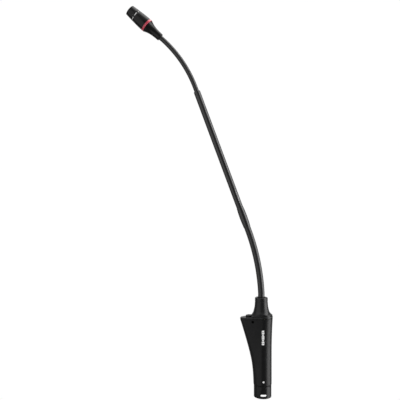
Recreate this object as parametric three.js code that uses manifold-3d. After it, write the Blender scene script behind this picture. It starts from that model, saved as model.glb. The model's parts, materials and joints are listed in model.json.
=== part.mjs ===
// Gooseneck desktop microphone: a three-pin plug under a wedge-shaped base, a neck with a bending
// stretch at each end of a stiff tube, and a slim capsule head with a translucent light ring.
// Millimetres. Origin: centre of the plug's bottom rim. +Z: up the plug. -X: towards the talker.
import * as THREE from "three";
import { mergeVertices } from "three/addons/utils/BufferGeometryUtils.js";
import ManifoldModule from "manifold-3d";

const wasm = await ManifoldModule();
wasm.setup();

// ---- Driving dimensions ----
const GAP = 0.3;                       // clearance between neighbouring pieces

// Plug
const PLUG_R = 9.5;                    // outer radius of the plug barrel
const PLUG_BORE_R = 8.2;
const PLUG_TOP_Z = 13.1;               // where the base housing takes over
const SPIGOT_R = 8.7;                  // barrel's neck inside the housing
const SPIGOT_TOP_Z = 25.5;
const INSERT_Z = 15.0;                 // face of the insulator that holds the pins
const INSERT_THICK = 5.0;
const PIN_R = 1.2;
const PIN_LOW_Z = 1.5;
const PIN_HIGH_Z = 26.0;
const PIN_SPOTS = [[-4.45, -1.8], [4.45, -1.8], [0, 4.8]];
const WINDOW_Z = 3.6;                  // latch window in the barrel, on the -Y side
const WINDOW_W = 6.4;
const WINDOW_H = 2.4;
const SET_SCREW_Z = 18.1;
const SET_SCREW_R = 1.1;

// Base housing and its cover
const HOUSING_Z = 13.4;
const COVER_Z = 85.1;
const COVER_TOP_Z = 87.3;
const HOUSING_BORE_R = 9.0;
const HOUSING_WALL = 1.8;
const BACK_R_LOW = 9.8;                // radius of the round back at the plug
const BACK_EDGE_GROWTH = 1.3;          // how much further back the top rim reaches
const FRONT_EDGE_LOW = 9.02;           // the front edge swings out from here ...
const FRONT_SLOPE = 0.305;             // ... to this slope ...
const FRONT_BEND_Z = 36.5;             // ... about this height ...
const FRONT_BEND_SOFTNESS = 17;        // ... over this length
const NOSE_R_LOW = 9.3;                // radius of the front nose, low and high
const NOSE_R_HIGH = 5.5;
const COVER_SLOPE = 0.06;              // the cover falls towards the nose ...
const COVER_LEVEL_X = -4;              // ... and keeps its height here
const NECK_X = -1.35;                  // axis of the neck collar
const COLLAR_TOP_Z = 107.5;
const COLLAR_BORE_R = 5.3;

// Mute button
const BUTTON_X = -15.0;
const BUTTON_R = 3.3;
const BUTTON_TOP_Z = 88.5;

// Neck centreline: up out of the collar, a lazy bend, straight, a tighter bend, then the head
const LEAN = THREE.MathUtils.degToRad(2.8);        // tilt from the first pivot on
const LOW_BEND_R = 229;
const LOW_BEND = THREE.MathUtils.degToRad(20.38);
const STRAIGHT_LENGTH = 165.0;
const HIGH_BEND_R = 132.8;
const HEAD_TILT = THREE.MathUtils.degToRad(48.25);
const HEAD_STRAIGHT = 2.4;                         // after the bend, up to the head

// Neck pieces, as distances along the centreline from the collar's top
const LOWER_FLEX_R = 3.6;
const LOWER_FLEX_END = 78.3;
const SLEEVE_END = 100.9;
const SLEEVE_R = 4.2;
const SLEEVE_END_R = 3.65;
const TUBE_R = 3.6;
const TUBE_END = 235.0;
const UPPER_FLEX_R = 2.7;
const JOINTS_PER_FLEX = 10;
const PIVOT_MARGIN_LOW = 4.0;          // from each end of the lower flexible stretch to a pivot
const PIVOT_MARGIN_HIGH = 3.5;

// Head, as distances from its rear end along its axis
const RING_START = 18.7;
const RING_END = 21.0;
const RING_R = 7.36;
const SLOT_START = 34.8;
const SLOT_END = 36.3;
const SLOT_COUNT = 6;
const SLOT_TURN = THREE.MathUtils.degToRad(-86.4);  // the middle of one slot, round the head from its X axis
const POST_WIDTH = 1.2;                            // between two slots
const HEAD_LENGTH = 44.8;
const HEAD_TIP_R = 5.95;

// ---- Small geometry helpers ----
const UP = new THREE.Vector3(0, 0, 1);

// Shares the corners of a geometry, drops triangles with no area and turns all faces outwards.
function weld(geometry) {
  geometry.deleteAttribute("normal");
  geometry.deleteAttribute("uv");
  const merged = mergeVertices(geometry);
  const { array: p } = merged.attributes.position;
  const index = [];
  let volume = 0;
  for (let i = 0; i < merged.index.count; i += 3) {
    const [a, b, c] = [0, 1, 2].map((k) => merged.index.array[i + k]);
    if (a === b || b === c || c === a) continue;
    index.push(a, b, c);
    const [u, v, w] = [a, b, c].map((k) => new THREE.Vector3().fromArray(p, 3 * k));
    volume += u.dot(v.cross(w));
  }
  merged.setIndex(volume < 0 ? index.reverse() : index);
  return merged;
}

function polygonMesh(positions, index) {
  const geometry = new THREE.BufferGeometry();
  geometry.setAttribute("position", new THREE.Float32BufferAttribute(positions, 3));
  geometry.setIndex(index);
  return weld(geometry);
}

// A solid of revolution about Z. The profile is [radius, height] pairs. It starts and ends on the
// axis, or closes on itself.
function revolve(profile, segments = 24) {
  const loop = profile[0][0] > 0 ? [...profile, profile[0]] : profile;
  const points = loop.map(([r, z]) => new THREE.Vector2(r, z));
  return weld(new THREE.LatheGeometry(points, segments).rotateX(Math.PI / 2));
}

const rod = (r, z0, z1, segments = 20) => weld(
  new THREE.CylinderGeometry(r, r, z1 - z0, segments).rotateX(Math.PI / 2).translate(0, 0, (z0 + z1) / 2));

const block = (x0, x1, y0, y1, z0, z1) => weld(
  new THREE.BoxGeometry(x1 - x0, y1 - y0, z1 - z0).translate((x0 + x1) / 2, (y0 + y1) / 2, (z0 + z1) / 2));

function wire(points, r, steps) {
  const extrudePath = new THREE.CatmullRomCurve3(points.map((p) => new THREE.Vector3(...p)));
  const section = new THREE.Shape().absarc(0, 0, r, 0, 2 * Math.PI);
  const options = { steps, curveSegments: 4, bevelEnabled: false, extrudePath };
  return weld(new THREE.ExtrudeGeometry(section, options));
}

// Joins outlines of equal point counts, one above the other, into one closed solid with flat ends.
function loft(outlines) {
  const count = outlines[0].length, top = (outlines.length - 1) * count, index = [];
  for (let k = 0; k < top; k += count) {
    for (let i = 0; i < count; i++) {
      const a = k + i, b = k + (i + 1) % count;
      index.push(a, b, b + count, a, b + count, a + count);
    }
  }
  for (let i = 1; i + 1 < count; i++) index.push(0, i + 1, i, top, top + i, top + i + 1);
  return polygonMesh(outlines.flat().flatMap((p) => p.toArray()), index);
}

const solid = (geometry) => new wasm.Manifold(new wasm.Mesh({
  numProp: 3,
  vertProperties: new Float32Array(geometry.attributes.position.array),
  triVerts: new Uint32Array(geometry.index.array),
}));

function combine(base, { within, add = [], cut = [] }) {
  let result = solid(base);
  if (within) result = result.intersect(solid(within));
  for (const piece of add) result = result.add(solid(piece));
  for (const piece of cut) result = result.subtract(solid(piece));
  const mesh = result.getMesh();
  return polygonMesh(Array.from(mesh.vertProperties), Array.from(mesh.triVerts));
}

const shifted = (geometry, x, y, z) => geometry.clone().translate(x, y, z);
const facingFront = (geometry, x, z) => geometry.clone().rotateX(Math.PI / 2).translate(x, 0, z);

// ---- Neck centreline ----
const LOW_BEND_START = PIVOT_MARGIN_LOW;
const STRAIGHT_START = LOW_BEND_START + LOW_BEND_R * (LOW_BEND - LEAN);
const HIGH_BEND_START = STRAIGHT_START + STRAIGHT_LENGTH;
const HIGH_BEND_END = HIGH_BEND_START + HIGH_BEND_R * (HEAD_TILT - LOW_BEND);
const HEAD_START = HIGH_BEND_END + HEAD_STRAIGHT;

const heading = (tilt) => new THREE.Vector3(-Math.sin(tilt), 0, Math.cos(tilt));
function arcFrom(point, tilt, radius, length) {
  const end = tilt + length / radius;
  return new THREE.Vector3(point.x + radius * (Math.cos(end) - Math.cos(tilt)), 0,
    point.z + radius * (Math.sin(end) - Math.sin(tilt)));
}
const along = (point, tilt, length) => point.clone().addScaledVector(heading(tilt), length);
const COLLAR_POINT = new THREE.Vector3(NECK_X, 0, COLLAR_TOP_Z);
const LOW_BEND_POINT = along(COLLAR_POINT, 0, LOW_BEND_START);
const STRAIGHT_POINT = arcFrom(LOW_BEND_POINT, LEAN, LOW_BEND_R, STRAIGHT_START - LOW_BEND_START);
const HIGH_BEND_POINT = along(STRAIGHT_POINT, LOW_BEND, STRAIGHT_LENGTH);
const BEND_END_POINT = arcFrom(HIGH_BEND_POINT, LOW_BEND, HIGH_BEND_R, HIGH_BEND_END - HIGH_BEND_START);

function centreline(s) {
  if (s < LOW_BEND_START) return along(COLLAR_POINT, 0, s);
  if (s < STRAIGHT_START) return arcFrom(LOW_BEND_POINT, LEAN, LOW_BEND_R, s - LOW_BEND_START);
  if (s < HIGH_BEND_START) return along(STRAIGHT_POINT, LOW_BEND, s - STRAIGHT_START);
  if (s < HIGH_BEND_END) return arcFrom(HIGH_BEND_POINT, LOW_BEND, HIGH_BEND_R, s - HIGH_BEND_START);
  return along(BEND_END_POINT, HEAD_TILT, s - HIGH_BEND_END);
}

function pivotsBetween(first, last) {
  const step = (last - first) / (JOINTS_PER_FLEX - 1);
  return Array.from({ length: JOINTS_PER_FLEX }, (_, i) => centreline(first + i * step));
}
const LOWER_PIVOTS = pivotsBetween(PIVOT_MARGIN_LOW, LOWER_FLEX_END - PIVOT_MARGIN_LOW);
const UPPER_PIVOTS = pivotsBetween(TUBE_END + PIVOT_MARGIN_HIGH, HEAD_START - PIVOT_MARGIN_HIGH);

// ---- Ball-and-socket ends of the flexible stretches ----
const LOWER_BALL = { r: LOWER_FLEX_R, ball: 2.6, bore: 1.2, shoulder: 1.25 };
const UPPER_BALL = { r: UPPER_FLEX_R, ball: 1.95, bore: 0.9, shoulder: 1.05 };
const FLEX_SEGMENTS = 12;

// The ball that sits in the piece below, centred on z = 0, then the shoulder of this piece.
function ballEnd({ r, ball, bore, shoulder }) {
  const low = Math.asin(bore / ball);
  const arc = [0, 0.5, 1].map((u) => {
    const a = THREE.MathUtils.lerp(low, Math.PI / 2, u);
    return [ball * Math.sin(a), -ball * Math.cos(a)];
  });
  return [...arc, [ball, shoulder], [r, shoulder]];
}

// The rim and hollow that hold the ball of the piece above, centred on z = length.
function socketEnd({ r, ball, bore }, length) {
  const hollow = ball + GAP, low = Math.asin(bore / hollow);
  const arc = [1, 0.5, 0].map((u) => {
    const a = THREE.MathUtils.lerp(low, Math.PI / 2, u);
    return [hollow * Math.sin(a), length - hollow * Math.cos(a)];
  });
  return [[r, length], ...arc];
}

// ---- Outline of the wedge-shaped base at one height ----
const reach = (z) => THREE.MathUtils.clamp((z - HOUSING_Z) / (COVER_TOP_Z - HOUSING_Z), 0, 1);
const rise = (z) => THREE.MathUtils.clamp((z - 45) / 42, 0, 1);
const backEdge = (z) => BACK_R_LOW + BACK_EDGE_GROWTH * rise(z) ** 2;
const backRadius = (z) => BACK_R_LOW + 0.3 * BACK_EDGE_GROWTH * rise(z) ** 2;
const noseRadius = (z) => THREE.MathUtils.lerp(NOSE_R_LOW, NOSE_R_HIGH, reach(z));
function frontEdge(z) {
  const past = z - FRONT_BEND_Z;
  return -(FRONT_EDGE_LOW + (FRONT_SLOPE / 2) * (Math.hypot(past, FRONT_BEND_SOFTNESS) + past));
}
function wedgeOutline(z, inset = 0, height = z) {
  const back = backRadius(z), nose = noseRadius(z);
  const backX = backEdge(z) - back, noseX = frontEdge(z) + nose;
  const turn = Math.acos((back - nose) / (backX - noseX)), points = [];
  const arc = (x, r, from, to, count) => {
    for (let i = 0; i < count; i++) {
      const a = THREE.MathUtils.lerp(from, to, i / (count - 1));
      const px = x + r * Math.cos(a);
      const fall = COVER_SLOPE * reach(z) * (COVER_LEVEL_X - px);
      points.push(new THREE.Vector3(px, r * Math.sin(a), height - fall));
    }
  };
  arc(backX, back - inset, turn - Math.PI, Math.PI - turn, 19);
  arc(noseX, nose - inset, Math.PI - turn, Math.PI + turn, 9);
  return points;
}
const wedge = (z0, z1, inset, levels) => loft(
  Array.from({ length: levels + 1 }, (_, i) => wedgeOutline(THREE.MathUtils.lerp(z0, z1, i / levels), inset)));

// ---- Materials ----
const paint = (color, roughness, metalness, extra = {}) =>
  new THREE.MeshStandardMaterial({ color, roughness, metalness, ...extra });
const BLACK_METAL = paint(0x1a1a1b, 0.45, 0.6);
const BLACK_PLASTIC = paint(0x1c1c1e, 0.55, 0);
const BLACK_SHEATH = paint(0x161617, 0.5, 0);
const NICKEL = paint(0xc9cacc, 0.25, 1);
const BRASS = paint(0xb8924a, 0.35, 1);
const RUBBER = paint(0x141414, 0.85, 0);
const BOARD = paint(0x1f5a34, 0.6, 0);
const CHIP = paint(0x101012, 0.5, 0);
const RED_LENS = paint(0xb02438, 0.3, 0, { transparent: true, opacity: 0.85 });
const LED_BODY = paint(0xe8e4da, 0.4, 0);

// ---- The pieces of the microphone, in groups that share a local axis ----
const microphone = new THREE.Group();
function groupAt(point, tilt) {
  const group = new THREE.Group();
  group.position.copy(point);
  group.quaternion.setFromUnitVectors(UP, heading(tilt));
  microphone.add(group);
  return group;
}
function place(group, name, geometry, material, x = 0, y = 0, z = 0) {
  geometry.computeVertexNormals();
  const mesh = new THREE.Mesh(geometry, material);
  mesh.name = name;
  mesh.position.set(x, y, z);
  group.add(mesh);
  return mesh;
}
const plug = groupAt(new THREE.Vector3(), 0);
const base = groupAt(new THREE.Vector3(), 0);
const anchor = groupAt(new THREE.Vector3(NECK_X, 0, 0), 0);
const links = groupAt(new THREE.Vector3(), 0);
const middle = groupAt(centreline(LOWER_FLEX_END), LOW_BEND);
const head = groupAt(centreline(HEAD_START), HEAD_TILT);

// ---- Plug ----
const windowHalf = (WINDOW_W - WINDOW_H) / 2;
const windowCuts = [
  block(-windowHalf, windowHalf, -PLUG_R - 2, -PLUG_BORE_R + 1,
    WINDOW_Z - WINDOW_H / 2, WINDOW_Z + WINDOW_H / 2),
  ...[-1, 1].map((side) =>
    facingFront(rod(WINDOW_H / 2, PLUG_BORE_R - 1, PLUG_R + 2, 12), side * windowHalf, WINDOW_Z)),
];
const screwHole = facingFront(rod(SET_SCREW_R + GAP, 7.5, 12, 16), 0, SET_SCREW_Z);
place(plug, "plug_barrel", combine(revolve([
  [PLUG_BORE_R + 0.1, 0], [PLUG_R - 0.6, 0], [PLUG_R, 0.8], [PLUG_R, PLUG_TOP_Z], [SPIGOT_R, PLUG_TOP_Z],
  [SPIGOT_R, SPIGOT_TOP_Z], [PLUG_BORE_R, SPIGOT_TOP_Z], [PLUG_BORE_R, 0.1],
], 32), { cut: [...windowCuts, screwHole] }), BLACK_METAL);

place(plug, "plug_insert", combine(rod(PLUG_BORE_R - GAP, INSERT_Z, INSERT_Z + INSERT_THICK, 28), {
  cut: PIN_SPOTS.map(([x, y]) => shifted(rod(PIN_R + GAP, 10, 30, 12), x, y, 0)),
}), BLACK_PLASTIC);

PIN_SPOTS.forEach(([x, y], i) => {
  place(plug, `plug_pin_${i + 1}`, revolve([
    [0, PIN_LOW_Z], [PIN_R * 0.55, PIN_LOW_Z + 0.15], [PIN_R, PIN_LOW_Z + 1.1],
    [PIN_R, PIN_HIGH_Z - 4], [PIN_R * 0.8, PIN_HIGH_Z - 4], [PIN_R * 0.8, PIN_HIGH_Z], [0, PIN_HIGH_Z],
  ], 12), NICKEL, x, y);
  const side = Math.sign(y);
  place(plug, `pin_wire_${i + 1}`, wire([
    [x, y, PIN_HIGH_Z + GAP], [x * 0.97, y * 0.95, 28.5], [x * 0.9, side * 2.0, 31], [x * 0.9, side * 1.7, 34],
  ], 0.5, 6), RUBBER);
});

const setScrew = place(plug, "plug_set_screw", revolve([
  [0, 0], [SET_SCREW_R, 0], [SET_SCREW_R, 1.4], [SET_SCREW_R - 0.2, 1.65], [0.55, 1.65], [0.45, 0.9], [0, 0.9],
], 12), NICKEL, 0, -8.3, SET_SCREW_Z);
setScrew.rotation.x = Math.PI / 2;

// ---- Base housing and its cover ----
place(base, "base_housing", combine(wedge(HOUSING_Z, COVER_Z - GAP, 0, 9), {
  cut: [
    rod(HOUSING_BORE_R, HOUSING_Z - 1, SPIGOT_TOP_Z + 1, 32),
    wedge(SPIGOT_TOP_Z, COVER_Z + 1, HOUSING_WALL, 6),
    screwHole,
  ],
  add: [-1, 1].map((side) => block(6.6, 9.2, side * 1.6 - 0.5, side * 1.6 + 0.5, 30, 70)),
}), BLACK_PLASTIC);

const coverEdge = [[COVER_Z, 0], [COVER_TOP_Z - 1.1, 0], [COVER_TOP_Z - 0.35, 0.35], [COVER_TOP_Z, 1.1]];
const LIP_Z = COVER_Z - 2.1;
const lipRing = (inset, z0, z1) => loft([wedgeOutline(z0, inset), wedgeOutline(z1, inset)]);
const lip = combine(lipRing(HOUSING_WALL + 0.5, LIP_Z, COVER_Z + 0.5), {
  cut: [lipRing(HOUSING_WALL + 1.5, LIP_Z - 1, COVER_Z),
    shifted(rod(BUTTON_R + 1.2, LIP_Z - 1, COVER_Z), BUTTON_X, 0, 0)],
});
// The foot of the collar lies on the sloping cover, inside its edge.
function sloped(geometry) {
  const p = geometry.attributes.position;
  for (let i = 0; i < p.count; i++) {
    const share = THREE.MathUtils.clamp((FLARE_TOP_Z - p.getZ(i)) / (FLARE_TOP_Z - COVER_TOP_Z), 0, 1);
    p.setZ(i, p.getZ(i) + share * COVER_SLOPE * (p.getX(i) - COVER_LEVEL_X));
  }
  return geometry;
}
const FLARE_TOP_Z = 93.8;
const insideRim = loft([COVER_Z - 1, COLLAR_TOP_Z + 2].map((z) => wedgeOutline(COVER_Z, 0.35, z)));
const collar = combine(sloped(shifted(revolve([
  [0, COVER_TOP_Z - 1], [12.1, COVER_TOP_Z - 1], [12.1, 87.95], [11.4, 88.3], [10.5, 89.3], [9.4, 90.8],
  [8.8, 92.0], [8.2, FLARE_TOP_Z], [7.3, 98.0], [7.0, 102.2], [6.9, 106.2], [6.5, 107.1],
  [5.75, COLLAR_TOP_Z], [0, COLLAR_TOP_Z],
], 28), NECK_X, 0, 0)), { within: insideRim });
place(base, "base_top_cover", combine(loft(coverEdge.map(([z, inset]) => wedgeOutline(COVER_Z, inset, z))), {
  add: [lip, collar],
  cut: [
    shifted(rod(COLLAR_BORE_R, LIP_Z - 2, COLLAR_TOP_Z + 2, 24), NECK_X, 0, 0),
    shifted(rod(BUTTON_R + GAP, LIP_Z - 2, COLLAR_TOP_Z - 12), BUTTON_X, 0, 0),
  ],
}), BLACK_PLASTIC);

const FLANGE_TOP_Z = COVER_Z - 1.1;
place(base, "mute_button", revolve([
  [0, 80.6], [1.4, 80.6], [1.4, 82.8], [BUTTON_R + 0.6, 82.8], [BUTTON_R + 0.6, FLANGE_TOP_Z],
  [BUTTON_R, FLANGE_TOP_Z], [BUTTON_R, BUTTON_TOP_Z - 0.5], [BUTTON_R - 0.6, BUTTON_TOP_Z], [0, BUTTON_TOP_Z - 0.2],
], 20), BLACK_PLASTIC, BUTTON_X);
place(base, "mute_switch_body", combine(block(-3, 3, -3, 3, 75.6, 79.0), { add: [rod(1.3, 78.5, 79.7, 12)] }),
  CHIP, BUTTON_X);

// ---- Electronics inside the base ----
const boardOutline = [[-7, 28.5], [7, 28.5], [7, 75.2], [-17.5, 75.2], [-17.5, 72], [-9, 44]];
const board = place(base, "preamp_board", weld(new THREE.ExtrudeGeometry(
  new THREE.Shape(boardOutline.map(([x, z]) => new THREE.Vector2(x, z))), { depth: 1.6, bevelEnabled: false })),
  BOARD, 0, 0.8, 0);
board.rotation.x = Math.PI / 2;
[36, 48].forEach((z, i) => place(base, `board_capacitor_${i + 1}`, rod(3.1, 0, 9, 16), CHIP, 0, 4.5, z));
place(base, "board_chip", block(-4, 4, -2.6, -1.1, 52, 58), CHIP);
const leadRoute = [[0, 0, 78.2], [0, 1.5, 76.6], [0, 2.5, 74], [0, 2.3, 67]];
place(base, "base_lead", wire(leadRoute, 0.9, 6), RUBBER, NECK_X);

// ---- Neck anchorage in the collar ----
const FERRULE_R = 4.4;
const STUB_LOW_Z = 79.4;
place(anchor, "neck_anchor_ferrule", revolve([
  [FERRULE_R, 78.6], [FERRULE_R, 99.6], [LOWER_FLEX_R + GAP, 99.6], [LOWER_FLEX_R + GAP, 78.6],
], 20), BRASS);
place(anchor, "neck_anchor_nut", combine(rod(6.1, 81.4, 84.4, 6), { cut: [rod(FERRULE_R + GAP, 80, 86)] }), NICKEL);
place(anchor, "neck_bushing", revolve([
  [COLLAR_BORE_R - GAP, 100.2], [COLLAR_BORE_R - GAP, 107.0], [COLLAR_BORE_R - GAP - 0.3, 107.3],
  [LOWER_FLEX_R + GAP, 107.3], [LOWER_FLEX_R + GAP, 100.2],
], 20), RUBBER);
place(anchor, "lower_flex_stub", revolve([
  [LOWER_FLEX_R, STUB_LOW_Z], ...socketEnd(LOWER_BALL, LOWER_PIVOTS[0].z), [LOWER_BALL.bore, STUB_LOW_Z],
], FLEX_SEGMENTS), BLACK_SHEATH);

// ---- Flexible stretches: short pieces that each hold the ball of the next ----
function addChain(prefix, kind, pivots) {
  for (let i = 0; i + 1 < pivots.length; i++) {
    const span = pivots[i + 1].clone().sub(pivots[i]);
    const link = revolve([...ballEnd(kind), ...socketEnd(kind, span.length())], FLEX_SEGMENTS);
    const mesh = place(links, `${prefix}_link_${i + 1}`, link, BLACK_SHEATH, ...pivots[i].toArray());
    mesh.quaternion.setFromUnitVectors(UP, span.normalize());
  }
}
addChain("lower_flex", LOWER_BALL, LOWER_PIVOTS);
addChain("upper_flex", UPPER_BALL, UPPER_PIVOTS);

// ---- Stiff middle of the neck, from the sleeve to the upper flexible stretch ----
const SLEEVE_LENGTH = SLEEVE_END - LOWER_FLEX_END;
const SLEEVE_BORE_R = 2.8;
const FITTING_R = 2.5;
const FITTING_LENGTH = SLEEVE_LENGTH / 2 - 0.5;
const TUBE_BORE_R = 2.4;
const TUBE_LOW = SLEEVE_LENGTH + GAP;
const TUBE_HIGH = TUBE_END - LOWER_FLEX_END;
const UPPER_FITTING_LENGTH = 9;

place(middle, "lower_flex_end", revolve([
  ...ballEnd(LOWER_BALL), [LOWER_FLEX_R, PIVOT_MARGIN_LOW - GAP], [FITTING_R, PIVOT_MARGIN_LOW - GAP],
  [FITTING_R, PIVOT_MARGIN_LOW + FITTING_LENGTH], [LOWER_BALL.bore, PIVOT_MARGIN_LOW + FITTING_LENGTH],
], FLEX_SEGMENTS), BLACK_SHEATH, 0, 0, -PIVOT_MARGIN_LOW);

const sleeveSkin = Array.from({ length: 8 }, (_, i) => [
  SLEEVE_END_R + (SLEEVE_R - SLEEVE_END_R) * Math.sin((Math.PI * i) / 7) ** 0.8, (SLEEVE_LENGTH * i) / 7]);
place(middle, "neck_sleeve", revolve([...sleeveSkin, [SLEEVE_BORE_R, SLEEVE_LENGTH], [SLEEVE_BORE_R, 0]], 20),
  BLACK_METAL);

place(middle, "rigid_tube", revolve([
  [FITTING_R, SLEEVE_LENGTH / 2 + 0.5], [FITTING_R, TUBE_LOW], [TUBE_R, TUBE_LOW],
  [TUBE_R, TUBE_HIGH - 0.4], [TUBE_R - 0.3, TUBE_HIGH], [TUBE_BORE_R, TUBE_HIGH], [TUBE_BORE_R, TUBE_LOW + 1],
  [1.9, TUBE_LOW + 1], [1.9, SLEEVE_LENGTH / 2 + 0.5],
], 20), BLACK_METAL);
place(middle, "tube_lead", rod(1.1, SLEEVE_LENGTH / 2 + 1, TUBE_HIGH - UPPER_FITTING_LENGTH - 0.6, 10), RUBBER);
place(middle, "upper_flex_stub", revolve([
  [TUBE_BORE_R - GAP, -UPPER_FITTING_LENGTH], [TUBE_BORE_R - GAP, GAP], [UPPER_FLEX_R, GAP],
  ...socketEnd(UPPER_BALL, PIVOT_MARGIN_HIGH), [UPPER_BALL.bore, -UPPER_FITTING_LENGTH],
], FLEX_SEGMENTS), BLACK_SHEATH, 0, 0, TUBE_HIGH);

// ---- Head ----
const HEAD_SEGMENTS = 24;
const TAIL_FITTING_R = 2.2;
const TAIL_FITTING_LENGTH = 7;
place(head, "upper_flex_end", revolve([
  ...ballEnd(UPPER_BALL), [UPPER_FLEX_R, PIVOT_MARGIN_HIGH - GAP], [TAIL_FITTING_R, PIVOT_MARGIN_HIGH - GAP],
  [TAIL_FITTING_R, PIVOT_MARGIN_HIGH + TAIL_FITTING_LENGTH],
  [UPPER_BALL.bore, PIVOT_MARGIN_HIGH + TAIL_FITTING_LENGTH],
], FLEX_SEGMENTS), BLACK_SHEATH, 0, 0, -PIVOT_MARGIN_HIGH);

// The tail narrows from the light ring in a hollow curve to a nearly straight collar.
const TAIL_END = RING_START - GAP;
const TAIL_COLLAR_R = 4.05;
const tailSkin = Array.from({ length: 9 }, (_, i) => {
  const u = THREE.MathUtils.lerp(0.045, 1, i / 8);
  return [TAIL_COLLAR_R + 0.35 * u + (RING_R - TAIL_COLLAR_R - 0.4) * u ** 3.2, u * TAIL_END];
});
place(head, "tail_cone", revolve([
  [3.35, 0], [3.75, 0.25], ...tailSkin, [5.9, TAIL_END], [4.6, 14.5], [3.2, 9.5], [TAIL_FITTING_R + GAP, 7.6],
  [TAIL_FITTING_R + GAP, 0],
], HEAD_SEGMENTS), BLACK_METAL);

place(head, "light_ring", revolve([
  [RING_R - 0.05, RING_START], [RING_R, RING_START + 0.3], [RING_R, RING_END - 0.3], [RING_R - 0.05, RING_END],
  [5.7, RING_END], [5.7, RING_START],
], HEAD_SEGMENTS), RED_LENS);
place(head, "ring_board", revolve([[5.3, 18.1], [5.3, 19.1], [1.6, 19.1], [1.6, 18.1]], 18), BOARD);
for (let i = 0; i < 3; i++) {
  const a = (2 * Math.PI * i) / 3;
  const led = block(-0.8, 0.8, -0.6, 0.6, 19.4, 20.5);
  place(head, `ring_led_${i + 1}`, led, LED_BODY, 4.2 * Math.cos(a), 4.2 * Math.sin(a));
}

// The long taper from behind the ring to the tip, shared by the capsule housing and the front cap.
const TAPER_START = 24;
const HEAD_SHOULDER = HEAD_LENGTH - 0.8;
const taper = (t) => THREE.MathUtils.lerp(RING_R + 0.06, HEAD_TIP_R,
  Math.max(0, (t - TAPER_START) / (HEAD_SHOULDER - TAPER_START)) ** 1.3);
const taperFrom = (t0, t1, steps) => Array.from({ length: steps + 1 }, (_, i) => {
  const t = THREE.MathUtils.lerp(t0, t1, i / steps);
  return [taper(t), t];
});
const HEAD_BORE_R = 5.95;
const posts = Array.from({ length: SLOT_COUNT }, (_, i) => {
  const side = POST_WIDTH / 2;
  const post = block(HEAD_BORE_R + 0.05, taper(SLOT_END) - 0.12, -side, side, SLOT_START - 0.5, SLOT_END - GAP);
  return post.rotateZ(SLOT_TURN + (2 * Math.PI * (i + 0.5)) / SLOT_COUNT);
});
place(head, "capsule_housing", combine(revolve([
  [RING_R, RING_END + GAP], [taper(0), RING_END + GAP + 0.3], ...taperFrom(TAPER_START, SLOT_START, 3),
  [HEAD_BORE_R, SLOT_START], [HEAD_BORE_R, RING_END + GAP],
], HEAD_SEGMENTS), { add: posts }), BLACK_METAL);

place(head, "front_cap", revolve([
  ...taperFrom(SLOT_END, HEAD_SHOULDER, 3), [HEAD_TIP_R - 0.2, HEAD_LENGTH - 0.3],
  [HEAD_TIP_R - 0.65, HEAD_LENGTH], [4.3, HEAD_LENGTH], [4.3, HEAD_LENGTH - 1.0], [5.2, HEAD_LENGTH - 1.0],
  [5.2, 38.2], [HEAD_BORE_R, 38.2], [HEAD_BORE_R, SLOT_END],
], HEAD_SEGMENTS), BLACK_METAL);

place(head, "port_screen", revolve([[5.65, 33.4], [5.65, 37.9], [5.35, 37.9], [5.35, 33.4]], HEAD_SEGMENTS), NICKEL);
place(head, "capsule", revolve([
  [0, 31.2], [4.6, 31.2], [4.8, 31.4], [4.8, 41.6], [4.5, 41.9], [0, 41.9],
], 20), NICKEL);
place(head, "capsule_boot", revolve([[5.6, 27.4], [5.6, 30.9], [3.0, 30.9], [3.0, 27.4]], 20), RUBBER);
place(head, "front_mesh", rod(4.9, HEAD_LENGTH - 2.0, HEAD_LENGTH - 1.3, 20), NICKEL);

export default microphone;
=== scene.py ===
# Looks of the gooseneck desktop microphone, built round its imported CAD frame.
# Lengths are in millimetres and become metres when a mesh is made. +Z is up, -X is towards the talker.
import json
import math

import bmesh
import bpy
from mathutils import Matrix, Vector


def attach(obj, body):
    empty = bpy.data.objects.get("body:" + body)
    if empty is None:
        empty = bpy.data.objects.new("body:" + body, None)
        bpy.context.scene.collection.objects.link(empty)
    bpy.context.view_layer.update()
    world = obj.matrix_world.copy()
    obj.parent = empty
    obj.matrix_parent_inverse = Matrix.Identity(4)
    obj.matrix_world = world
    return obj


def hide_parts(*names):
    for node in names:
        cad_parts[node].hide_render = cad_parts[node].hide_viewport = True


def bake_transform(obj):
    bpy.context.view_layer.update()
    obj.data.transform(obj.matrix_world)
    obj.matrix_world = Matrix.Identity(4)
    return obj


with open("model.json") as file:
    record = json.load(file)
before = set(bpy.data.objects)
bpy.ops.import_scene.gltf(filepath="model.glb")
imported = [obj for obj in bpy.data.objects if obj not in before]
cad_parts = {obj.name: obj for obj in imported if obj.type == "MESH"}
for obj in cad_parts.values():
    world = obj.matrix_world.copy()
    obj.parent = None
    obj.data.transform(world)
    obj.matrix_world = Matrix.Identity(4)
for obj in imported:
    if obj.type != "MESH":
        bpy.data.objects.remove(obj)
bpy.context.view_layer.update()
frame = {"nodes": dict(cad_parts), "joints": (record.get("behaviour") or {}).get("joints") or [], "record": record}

MM = 0.001
NODES = frame["nodes"]
PIVOTS = {j["name"]: Vector(j["pos_m"]) / MM for j in frame["joints"] if j["type"] == "hinge"}

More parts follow.
